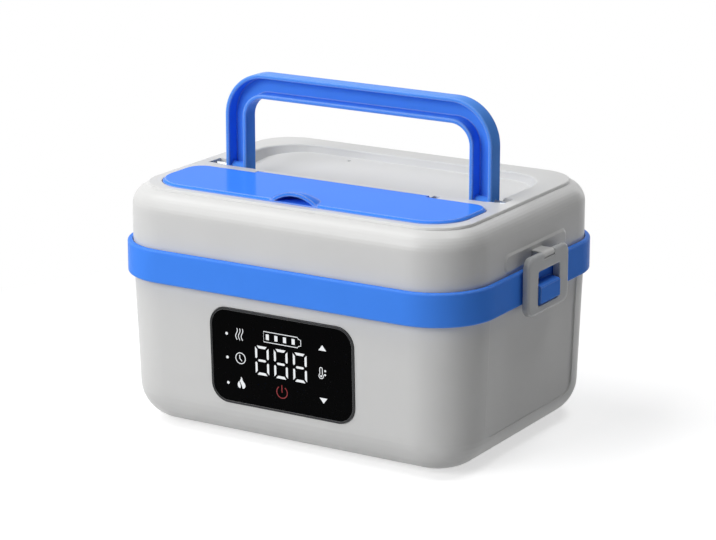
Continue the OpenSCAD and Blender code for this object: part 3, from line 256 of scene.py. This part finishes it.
# --------------------------------------------------------------------------------------------
# Screws, brackets, pins and the fuse case: cold-headed or pressed steel with bright zinc plate.
# Zinc is a pale bluish metal with a soft, slightly cloudy reflection over fine drawn lines, which
# are shown 0.12 mm apart because the real ones are too fine to see.
line_mm, line_long_mm, plate_cloud_mm = 0.12, 12, 3
zinc_steel, tree, place = new_material("zinc_plated_steel")
stretch = add(tree, "ShaderNodeMapping", {"Vector": place}, Scale=(1 / (line_mm * MM),
              1 / (line_long_mm * MM), 1 / (line_mm * MM)))
lines = add(tree, "ShaderNodeTexNoise", {"Vector": stretch.outputs[0]}, Scale=1.0, Detail=3.0)
cloud = add(tree, "ShaderNodeTexNoise", {"Vector": place}, Scale=1 / (plate_cloud_mm * MM),
            Detail=3.0)
zinc = add(tree, "ShaderNodeMix", {"Factor": cloud.outputs["Fac"],
           mix_a: shade_of("#a9adb2", 0.9), mix_b: shade_of("#a9adb2", 1.06)}, data_type="RGBA")
spread = add(tree, "ShaderNodeMapRange", {"Value": cloud.outputs["Fac"]}, To_Min=0.28, To_Max=0.42)
scored = add(tree, "ShaderNodeBump", {"Height": lines.outputs["Fac"]}, Strength=0.3,
             Distance=0.01 * MM)
skin = add(tree, "ShaderNodeBsdfPrincipled", {"Base Color": zinc.outputs[mixed],
           "Roughness": spread.outputs[0], "Normal": scored.outputs[0]}, Metallic=1.0)
add(tree, "ShaderNodeOutputMaterial", {"Surface": skin.outputs[0]})
dress(zinc_steel, "bottom_screws", "frame_screws", "heater_bracket", "heater_screws",
      "display_screws", "lid_screws", "cover_hinge_pins", "handle_pins", "latch_pins",
      "thermal_fuse")

# --------------------------------------------------------------------------------------------
# Middle band with its two hooks: one injection-moulded ABS ring, pigmented blue right through, and
# clamped between base shell and liner by the frame screws. Its blue is strong, with little gloss.
blue_gloss_tint = "#5a9cff"
dress(moulded_abs("blue_gloss_abs", "#488cf8", 0.25, gloss=0.012, tint=blue_gloss_tint, wear_and_highlight=0.45,
                  rim=0.8), "mid_band")

# --------------------------------------------------------------------------------------------
# Inner liner and lid liner: white polypropylene. The tub has a flange that the frame screws
# clamp, and the lid's liner is screwed up into the lid shell.


def waxy_polymer(name, colour, roughness, depth_mm):
    """Moulded polypropylene: waxy, low gloss, and light goes depth_mm into it. Its grain is a few
    hundredths of a millimetre, and is drawn 0.6 mm apart so that it shows."""
    cloud_mm, grain_mm = 18, 0.6
    material, tree, place = new_material(name)
    cloud = add(tree, "ShaderNodeTexNoise", {"Vector": place}, Scale=1 / (cloud_mm * MM),
                Detail=4.0)
    grain = add(tree, "ShaderNodeTexNoise", {"Vector": place}, Scale=1 / (grain_mm * MM),
                Detail=2.0)
    tone = add(tree, "ShaderNodeMix", {"Factor": cloud.outputs["Fac"],
               mix_a: shade_of(colour, 0.95), mix_b: shade_of(colour, 1.04)}, data_type="RGBA")
    spread = add(tree, "ShaderNodeMapRange", {"Value": grain.outputs["Fac"]},
                 To_Min=roughness - 0.05, To_Max=roughness + 0.06)
    bump = add(tree, "ShaderNodeBump", {"Height": grain.outputs["Fac"]}, Strength=0.3,
               Distance=0.02 * MM)
    skin = add(tree, "ShaderNodeBsdfPrincipled", {"Base Color": tone.outputs[mixed],
               "Roughness": spread.outputs[0], "Normal": bump.outputs[0]}, IOR=1.49,
               Subsurface_Weight=0.15, Subsurface_Scale=depth_mm * MM)
    add(tree, "ShaderNodeOutputMaterial", {"Surface": skin.outputs[0]})
    return material


dress(waxy_polymer("white_polypropylene", "#e6e6e2", 0.42, depth_mm=1.5), "inner_liner",
      "lid_liner")

# --------------------------------------------------------------------------------------------
# Heating plate and sensor button: cast and turned aluminium, bead-blasted to a dull bright satin
# with no direction. Blasting leaves small pits about a third of a millimetre apart.
pit_mm, blast_cloud_mm = 0.35, 15
blasted_aluminium, tree, place = new_material("blasted_aluminium")
pits = add(tree, "ShaderNodeTexVoronoi", {"Vector": place}, Scale=1 / (pit_mm * MM))
cloud = add(tree, "ShaderNodeTexNoise", {"Vector": place}, Scale=1 / (blast_cloud_mm * MM),
            Detail=3.0)
metal = add(tree, "ShaderNodeMix", {"Factor": cloud.outputs["Fac"], mix_a: linear("#c4c6c8"),
            mix_b: linear("#d6d7d8")}, data_type="RGBA")
spread = add(tree, "ShaderNodeMapRange", {"Value": pits.outputs["Distance"]}, To_Min=0.38,
             To_Max=0.52)
dent = add(tree, "ShaderNodeBump", {"Height": pits.outputs["Distance"]}, Strength=0.5,
           Distance=0.02 * MM)
skin = add(tree, "ShaderNodeBsdfPrincipled", {"Base Color": metal.outputs[mixed],
           "Roughness": spread.outputs[0], "Normal": dent.outputs[0]}, Metallic=1.0)
add(tree, "ShaderNodeOutputMaterial", {"Surface": skin.outputs[0]})
dress(blasted_aluminium, "heating_plate", "temperature_sensor")

# --------------------------------------------------------------------------------------------
# Heating film: etched foil tracks between two amber polyimide sheets, bonded under the plate.
# The tracks run to and fro 1.5 mm apart and show copper-brown through the glossy amber.
track_mm = 1.5
wave_turn = math.pi / 10     # a wave texture of scale 1 repeats once in this length
film_skin, tree, place = new_material("amber_polyimide_film")
tracks = add(tree, "ShaderNodeTexWave", {"Vector": place}, Scale=wave_turn / (track_mm * MM),
             Distortion=0.0, bands_direction="Y")
cut = add(tree, "ShaderNodeMapRange", {"Value": tracks.outputs["Fac"]}, From_Min=0.45,
          From_Max=0.55)
amber = add(tree, "ShaderNodeMix", {"Factor": cut.outputs[0], mix_a: linear("#c26a14"),
            mix_b: linear("#8a4a1c")}, data_type="RGBA")
raised = add(tree, "ShaderNodeBump", {"Height": cut.outputs[0]}, Strength=0.5, Distance=0.04 * MM)
skin = add(tree, "ShaderNodeBsdfPrincipled", {"Base Color": amber.outputs[mixed],
           "Normal": raised.outputs[0]}, Roughness=0.28, IOR=1.70)
add(tree, "ShaderNodeOutputMaterial", {"Surface": skin.outputs[0]})
dress(film_skin, "heating_film")

# --------------------------------------------------------------------------------------------
# Insulation pad: pressed mineral-fibre felt that keeps the heat off the battery, held by the
# bracket under the film. Its fibres lie flat and crossed in bundles, which gives a matt cream nap.
bundle_mm, bundle_long_mm = 0.4, 4
pad_skin, tree, place = new_material("mineral_fibre_felt")
along = add(tree, "ShaderNodeMapping", {"Vector": place}, Scale=(1 / (bundle_long_mm * MM),
            1 / (bundle_mm * MM), 1 / (bundle_mm * MM)))
fibres = add(tree, "ShaderNodeTexNoise", {"Vector": along.outputs[0]}, Scale=1.0, Detail=5.0,
             Distortion=1.5)
felt = add(tree, "ShaderNodeMix", {"Factor": fibres.outputs["Fac"], mix_a: linear("#b9b19a"),
           mix_b: linear("#ece6d4")}, data_type="RGBA")
nap = add(tree, "ShaderNodeBump", {"Height": fibres.outputs["Fac"]}, Strength=0.8,
          Distance=0.15 * MM)
skin = add(tree, "ShaderNodeBsdfPrincipled", {"Base Color": felt.outputs[mixed],
           "Normal": nap.outputs[0]}, Roughness=0.95)
add(tree, "ShaderNodeOutputMaterial", {"Surface": skin.outputs[0]})
dress(pad_skin, "insulation_pad")

# --------------------------------------------------------------------------------------------
# Battery cells in green PVC shrink wrap, which is thin and glossy with faint creases round the
# cell. They lie in a holder moulded in black nylon, and the charging socket is of the same nylon.
crease_mm = 2.5
wrap_skin, tree, place = new_material("green_shrink_wrap")
creases = add(tree, "ShaderNodeTexWave", {"Vector": place}, Scale=wave_turn / (crease_mm * MM),
              Distortion=6.0, Detail=2.0, bands_direction="X")
wrap = add(tree, "ShaderNodeMix", {"Factor": creases.outputs["Fac"], mix_a: linear("#2c8a63"),
           mix_b: linear("#349a70")}, data_type="RGBA")
fold = add(tree, "ShaderNodeBump", {"Height": creases.outputs["Fac"]}, Strength=0.3,
           Distance=0.05 * MM)
skin = add(tree, "ShaderNodeBsdfPrincipled", {"Base Color": wrap.outputs[mixed],
           "Normal": fold.outputs[0]}, Roughness=0.22, IOR=1.53)
add(tree, "ShaderNodeOutputMaterial", {"Surface": skin.outputs[0]})
dress(wrap_skin, "battery_cells")
dress(moulded_abs("black_nylon", "#222325", 0.48, wave=9.0, grain=0.5), "battery_holder",
      "charge_socket")

# --------------------------------------------------------------------------------------------
# Control board and display board: glass-epoxy laminate under green solder mask, parts soldered
# on. The copper tracks, a fraction of a millimetre wide, show as a lighter green relief.
track_step_mm, track_share = 6, 0.06
board_skin, tree, place = new_material("green_solder_mask")
runs = add(tree, "ShaderNodeTexBrick", {"Vector": place}, Scale=1 / (track_step_mm * MM),
           Mortar_Size=track_share, Mortar_Smooth=0.2, Color1=(0, 0, 0, 1), Color2=(0, 0, 0, 1),
           Mortar=pure_white)
mask = add(tree, "ShaderNodeMix", {"Factor": runs.outputs["Color"], mix_a: linear("#0f5a2c"),
           mix_b: linear("#2a8a4a")}, data_type="RGBA")
relief = add(tree, "ShaderNodeBump", {"Height": runs.outputs["Color"]}, Strength=0.4,
             Distance=0.04 * MM)
skin = add(tree, "ShaderNodeBsdfPrincipled", {"Base Color": mask.outputs[mixed],
           "Normal": relief.outputs[0]}, Roughness=0.3, IOR=1.55)
add(tree, "ShaderNodeOutputMaterial", {"Surface": skin.outputs[0]})
dress(board_skin, "control_board", "display_board")

# --------------------------------------------------------------------------------------------
# Touch panel: a glassy smooth black acrylic window, bonded into a thin bezel of satin black ABS
# and printed from behind. The signs are windows in the print, lit by the display board.
dress(moulded_abs("satin_black_bezel", "#1a1b1d", 0.30, gloss=0.3, wear_and_highlight=0.3), "display_bezel")
breath_mm = 7
acrylic, tree, place = new_material("black_backed_acrylic")
breath = add(tree, "ShaderNodeTexNoise", {"Vector": place}, Scale=1 / (breath_mm * MM), Detail=5.0,
             Distortion=0.6)
film = add(tree, "ShaderNodeMapRange", {"Value": breath.outputs["Fac"]}, From_Min=0.35,
           From_Max=0.75, To_Min=0.06, To_Max=0.16)
depth = add(tree, "ShaderNodeMix", {"Factor": breath.outputs["Fac"], mix_a: linear("#010101"),
            mix_b: linear("#030304")}, data_type="RGBA")
skin = add(tree, "ShaderNodeBsdfPrincipled", {"Base Color": depth.outputs[mixed],
           "Roughness": film.outputs[0]}, IOR=1.49, Specular_IOR_Level=0.02)
add(tree, "ShaderNodeOutputMaterial", {"Surface": skin.outputs[0]})
dress(acrylic, "touch_panel")


def lit_window(name, colour, glow, ground):
    """Printed window with a lamp behind it: an uneven glow through the print, faint dust on top."""
    glow_mm = 2.2
    material, tree, place = new_material(name)
    spread = add(tree, "ShaderNodeTexNoise", {"Vector": place}, Scale=1 / (glow_mm * MM),
                 Detail=2.0)
    level = add(tree, "ShaderNodeMapRange", {"Value": spread.outputs["Fac"]}, To_Min=glow * 0.85,
                To_Max=glow * 1.1)
    dust = add(tree, "ShaderNodeMapRange", {"Value": spread.outputs["Fac"]}, To_Min=0.18,
               To_Max=0.30)
    skin = add(tree, "ShaderNodeBsdfPrincipled", {"Emission Strength": level.outputs[0],
               "Roughness": dust.outputs[0]}, IOR=1.49, Base_Color=linear(ground),
               Emission_Color=linear(colour))
    add(tree, "ShaderNodeOutputMaterial", {"Surface": skin.outputs[0]})
    return material


white_window = lit_window("white_lit_window", "#fbfdff", glow=0.62, ground="#8f9294")
red_window = lit_window("red_lit_window", "#c81018", glow=0.36, ground="#38080a")

# The panel leans with the drafted front wall. Its signs are drawn in millimetres to the right of
# its middle and up from it, as closed plates that start in the acrylic and end just proud of it.
wall_draft = 0.035
sign_sunk, sign_raised, panel_gap = -0.15, 0.06, 0.02
panel_low, panel_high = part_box("touch_panel")
panel_lean = math.atan(wall_draft)
panel_up = Vector((0, -math.sin(panel_lean), math.cos(panel_lean)))
panel_out = Vector((0, -math.cos(panel_lean), -math.sin(panel_lean)))
panel_mid = Vector((0, panel_low.y, panel_high.z))
panel_mid -= panel_up * (panel_high - panel_low).z / math.cos(panel_lean) / 2
panel_mid += panel_out * panel_gap * MM


def printed(name, shapes, material):
    """One lit sign, made of closed plates, each given by its outline."""
    mesh = bpy.data.meshes.new(name)
    shell = bmesh.new()
    for shape in shapes:
        low, high = ([shell.verts.new(panel_mid + Vector((u * MM, 0, 0)) + panel_up * v * MM
                                      + panel_out * lift * MM) for u, v in shape]
                     for lift in (sign_sunk, sign_raised))
        shell.faces.new(high)
        shell.faces.new(low[::-1])
        for i in range(len(shape)):
            j = (i + 1) % len(shape)
            shell.faces.new((low[i], low[j], high[j], high[i]))
    bmesh.ops.recalc_face_normals(shell, faces=shell.faces)
    shell.to_mesh(mesh)
    shell.free()
    mesh.materials.append(material)
    piece = bpy.data.objects.new(name, mesh)
    bpy.context.scene.collection.objects.link(piece)
    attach(piece, "base")


def stroke(points, width, closed=False):
    """A drawn line as one four-sided plate for each step, mitred so that the plates meet."""
    count, sides = len(points), []
    for i, (u, v) in enumerate(points):
        before = points[i - 1] if closed or i else points[i]
        after = points[(i + 1) % count] if closed or i < count - 1 else points[i]
        du, dv = after[0] - before[0], after[1] - before[1]
        size = math.hypot(du, dv)
        sides.append(((u - dv / size * width / 2, v + du / size * width / 2),
                      (u + dv / size * width / 2, v - du / size * width / 2)))
    steps = range(count if closed else count - 1)
    return [(sides[i][1], sides[(i + 1) % count][1], sides[(i + 1) % count][0], sides[i][0])
            for i in steps]


def ring(u, v, radius, first=0, sweep=360, steps=40):
    """Points on a circle, in degrees from the right, against the clock."""
    stop = steps if sweep == 360 else steps + 1
    return [(u + radius * math.cos(math.radians(first + sweep * i / steps)),
             v + radius * math.sin(math.radians(first + sweep * i / steps))) for i in range(stop)]


# Three round lamps that mark the running mode, with heat, timer and fire signs beside them.
lamp_heights = (12.95, -1.15, -16.4)
mode_lamps = [ring(-36.3, v, radius=0.85, steps=20) for v in lamp_heights]
printed("mode_lamps", mode_lamps, white_window)
wave_left, wave_top, wave_high = -29.6, 17.1, 6.9
wave_apart, wave_swing, wave_steps, wave_start = 1.85, 0.62, 12, 0.5
heat = []
for k in range(3):
    wave = [(wave_left + k * wave_apart
             + wave_swing * math.sin(2 * math.pi * t / wave_steps + wave_start),
             wave_top - wave_high * t / wave_steps) for t in range(wave_steps + 1)]
    heat += stroke(wave, width=0.43)
printed("heat_sign", heat, white_window)
clock = stroke(ring(-27.4, -0.5, radius=3.2), width=0.48, closed=True)
clock += stroke([(-27.9, 1.5), (-27.9, -0.6), (-26.5, -2.1)], width=0.52)
printed("timer_sign", clock, white_window)
flame_left = [(-28.9, -18.4), (-29.7, -17.5), (-29.9, -16.3), (-29.5, -15.1), (-28.8, -14.2),
              (-28.6, -15.2), (-28.1, -16.1), (-27.9, -17.3), (-28.1, -18.3)]
flame_right = [(-27.4, -11.5), (-27.6, -12.7), (-28.4, -14.2), (-27.9, -15.2), (-27.3, -16.2),
               (-26.9, -17.4), (-26.6, -18.5), (-25.7, -18.4), (-24.9, -17.5), (-24.7, -16.4),
               (-25.1, -15.3), (-25.9, -14.5), (-26.6, -13.3), (-26.8, -12.2)]
printed("fire_sign", [flame_left, flame_right], white_window)

# Battery gauge: an outline with its cap at the right, and four bars.
case = [(-11.4, 18.0), (11.0, 18.0), (11.6, 17.0), (13.2, 16.6), (13.2, 13.2), (11.6, 12.8),
        (11.0, 11.9), (-11.4, 11.9)]
gauge = stroke(case, width=0.42, closed=True)
bar_places, bar_half, bar_low, bar_high = (-8.9, -3.2, 2.5, 8.2), 1.0, 13.3, 16.6
gauge += [[(u - bar_half, bar_low), (u + bar_half, bar_low), (u + bar_half, bar_high),
           (u - bar_half, bar_high)] for u in bar_places]
printed("charge_gauge", gauge, white_window)

# Number display: seven lit bars to a figure, each cut at an angle where it meets the next.
bars = [[(-3.3, 8.6), (3.3, 8.6), (2.1, 7.1), (-2.1, 7.1)],
        [(-3.3, -8.6), (-2.1, -7.1), (2.1, -7.1), (3.3, -8.6)],
        [(-2.1, 0.65), (2.1, 0.65), (2.7, 0.0), (2.1, -0.65), (-2.1, -0.65), (-2.7, 0.0)],
        [(-4.5, 7.8), (-3.2, 6.4), (-3.2, 1.8), (-3.8, 1.0), (-4.5, 1.5)],
        [(4.5, 7.8), (4.5, 1.5), (3.8, 1.0), (3.2, 1.8), (3.2, 6.4)],
        [(-4.5, -7.8), (-4.5, -1.5), (-3.8, -1.0), (-3.2, -1.8), (-3.2, -6.4)],
        [(4.5, -7.8), (3.2, -6.4), (3.2, -1.8), (3.8, -1.0), (4.5, -1.5)]]
figure_places, figure_middle = (-12.85, -0.35, 12.25), 0.35
for k, u in enumerate(figure_places):
    figure = [[(u + x, figure_middle + y) for x, y in bar] for bar in bars]
    printed(f"figure_{k + 1}", figure, white_window)

# Up and down keys, the temperature sign between them, and the red switch below the figures.
keys = [[(27.2, 16.1), (24.7, 12.8), (29.7, 12.8)], [(27.3, -18.2), (29.8, -15.0), (24.8, -15.0)]]
printed("up_down_keys", keys, white_window)
tube = ring(26.1, -2.2, radius=1.45, first=125, sweep=290, steps=14)
tube += ring(26.1, 2.0, radius=0.85, sweep=180, steps=8)
heat_level = stroke(tube, width=0.45, closed=True)
dots = ((26.1, -2.2), (28.8, 1.15), (28.7, -1.2))
heat_level += [ring(u, v, radius=0.6, steps=14) for u, v in dots]
printed("temperature_sign", heat_level, white_window)
power = stroke(ring(-0.1, -16.2, radius=3.5, first=125, sweep=290, steps=30), width=0.50)
power += stroke([(-0.1, -11.9), (-0.1, -16.4)], width=0.50)
printed("power_switch", power, red_window)

# --------------------------------------------------------------------------------------------
# Food container: deep-drawn stainless steel with a flat folded rim, brushed round after drawing.
# The brushing leaves level lines that stretch the light sideways. Real ones are a few hundredths
# of a millimetre apart; these are 0.12 mm apart so that they show.
brush_mm, brush_long_mm = 0.12, 45
drawn_steel, tree, place = new_material("brushed_stainless_steel")
level = add(tree, "ShaderNodeMapping", {"Vector": place}, Scale=(1 / (brush_long_mm * MM),
            1 / (brush_long_mm * MM), 1 / (brush_mm * MM)))
lines = add(tree, "ShaderNodeTexNoise", {"Vector": level.outputs[0]}, Scale=1.0, Detail=2.0)
steel = add(tree, "ShaderNodeMix", {"Factor": lines.outputs["Fac"], mix_a: linear("#9c9c9a"),
            mix_b: linear("#acacaa")}, data_type="RGBA")
spread = add(tree, "ShaderNodeMapRange", {"Value": lines.outputs["Fac"]}, To_Min=0.22, To_Max=0.32)
scored = add(tree, "ShaderNodeBump", {"Height": lines.outputs["Fac"]}, Strength=0.25,
             Distance=0.004 * MM)
skin = add(tree, "ShaderNodeBsdfPrincipled", {"Base Color": steel.outputs[mixed],
           "Roughness": spread.outputs[0], "Normal": scored.outputs[0]}, Metallic=1.0,
           Anisotropic=0.6)
add(tree, "ShaderNodeOutputMaterial", {"Surface": skin.outputs[0]})
dress(drawn_steel, "food_container")

# --------------------------------------------------------------------------------------------
# Container lid with its seal and steam plug: frosted polypropylene, pale and waxy, which takes in
# the light a little way, and white silicone pressed into its rim. The gasket and the vent valve of
# the lid above are of the same silicone.
dress(waxy_polymer("frosted_polypropylene", "#dfe8ee", 0.34, depth_mm=2.5), "container_lid")
dress(moulded_rubber("white_silicone", "#dddcd6", 0.55, pit_mm=0.5), "container_seal", "steam_plug",
      "lid_gasket", "vent_valve")

# --------------------------------------------------------------------------------------------
# Lid shell: one moulding of the same light grey ABS as the base, with the handle recess and the
# hollow for the cutlery tray in its top, and a lug for a latch at each end.
dress(grey_abs, "lid_shell")

# --------------------------------------------------------------------------------------------
# Cutlery tray and its cover: blue ABS. The tray is a paler, plainer moulding set into the lid; the
# cover turns on steel pins, has an arched finger lift, and comes from a more polished mould.
# Its edges are painted pale over 1.4 mm: a painted highlight along the bevel, with some rubbing
# wear.
dress(moulded_abs("blue_cover_abs", "#3f88fa", 0.14, gloss=0.015, tint=blue_gloss_tint, wear_and_highlight=0.8,
                  rim=1.4), "cutlery_cover")
dress(moulded_abs("blue_tray_abs", "#62a4fb", 0.25, gloss=0.05, tint=blue_gloss_tint),
      "cutlery_tray")

# --------------------------------------------------------------------------------------------
# Carry handle: blue ABS, moulded as a channel that is open to the front, so that it is stiff and
# light. It folds back into the recess on two steel pins.
# Its edges are painted pale over 1.2 mm: a painted highlight on the flanges, with some rubbing
# wear.
dress(moulded_abs("blue_handle_abs", "#5295f4", 0.20, gloss=0.025, tint=blue_gloss_tint, wear_and_highlight=0.7,
                  rim=1.2), "handle")

# --------------------------------------------------------------------------------------------
# Latches: light grey ABS frames, pale at their edges, partly rubbed by fingers and partly a painted
# highlight. They swing on steel pins in the lid and drop over the hooks of the band.
dress(moulded_abs("grey_latch_abs", "#b3b5b7", 0.20, gloss=0.25, wear_and_highlight=1.0, rim=1.4), "latch_right",
      "latch_left")
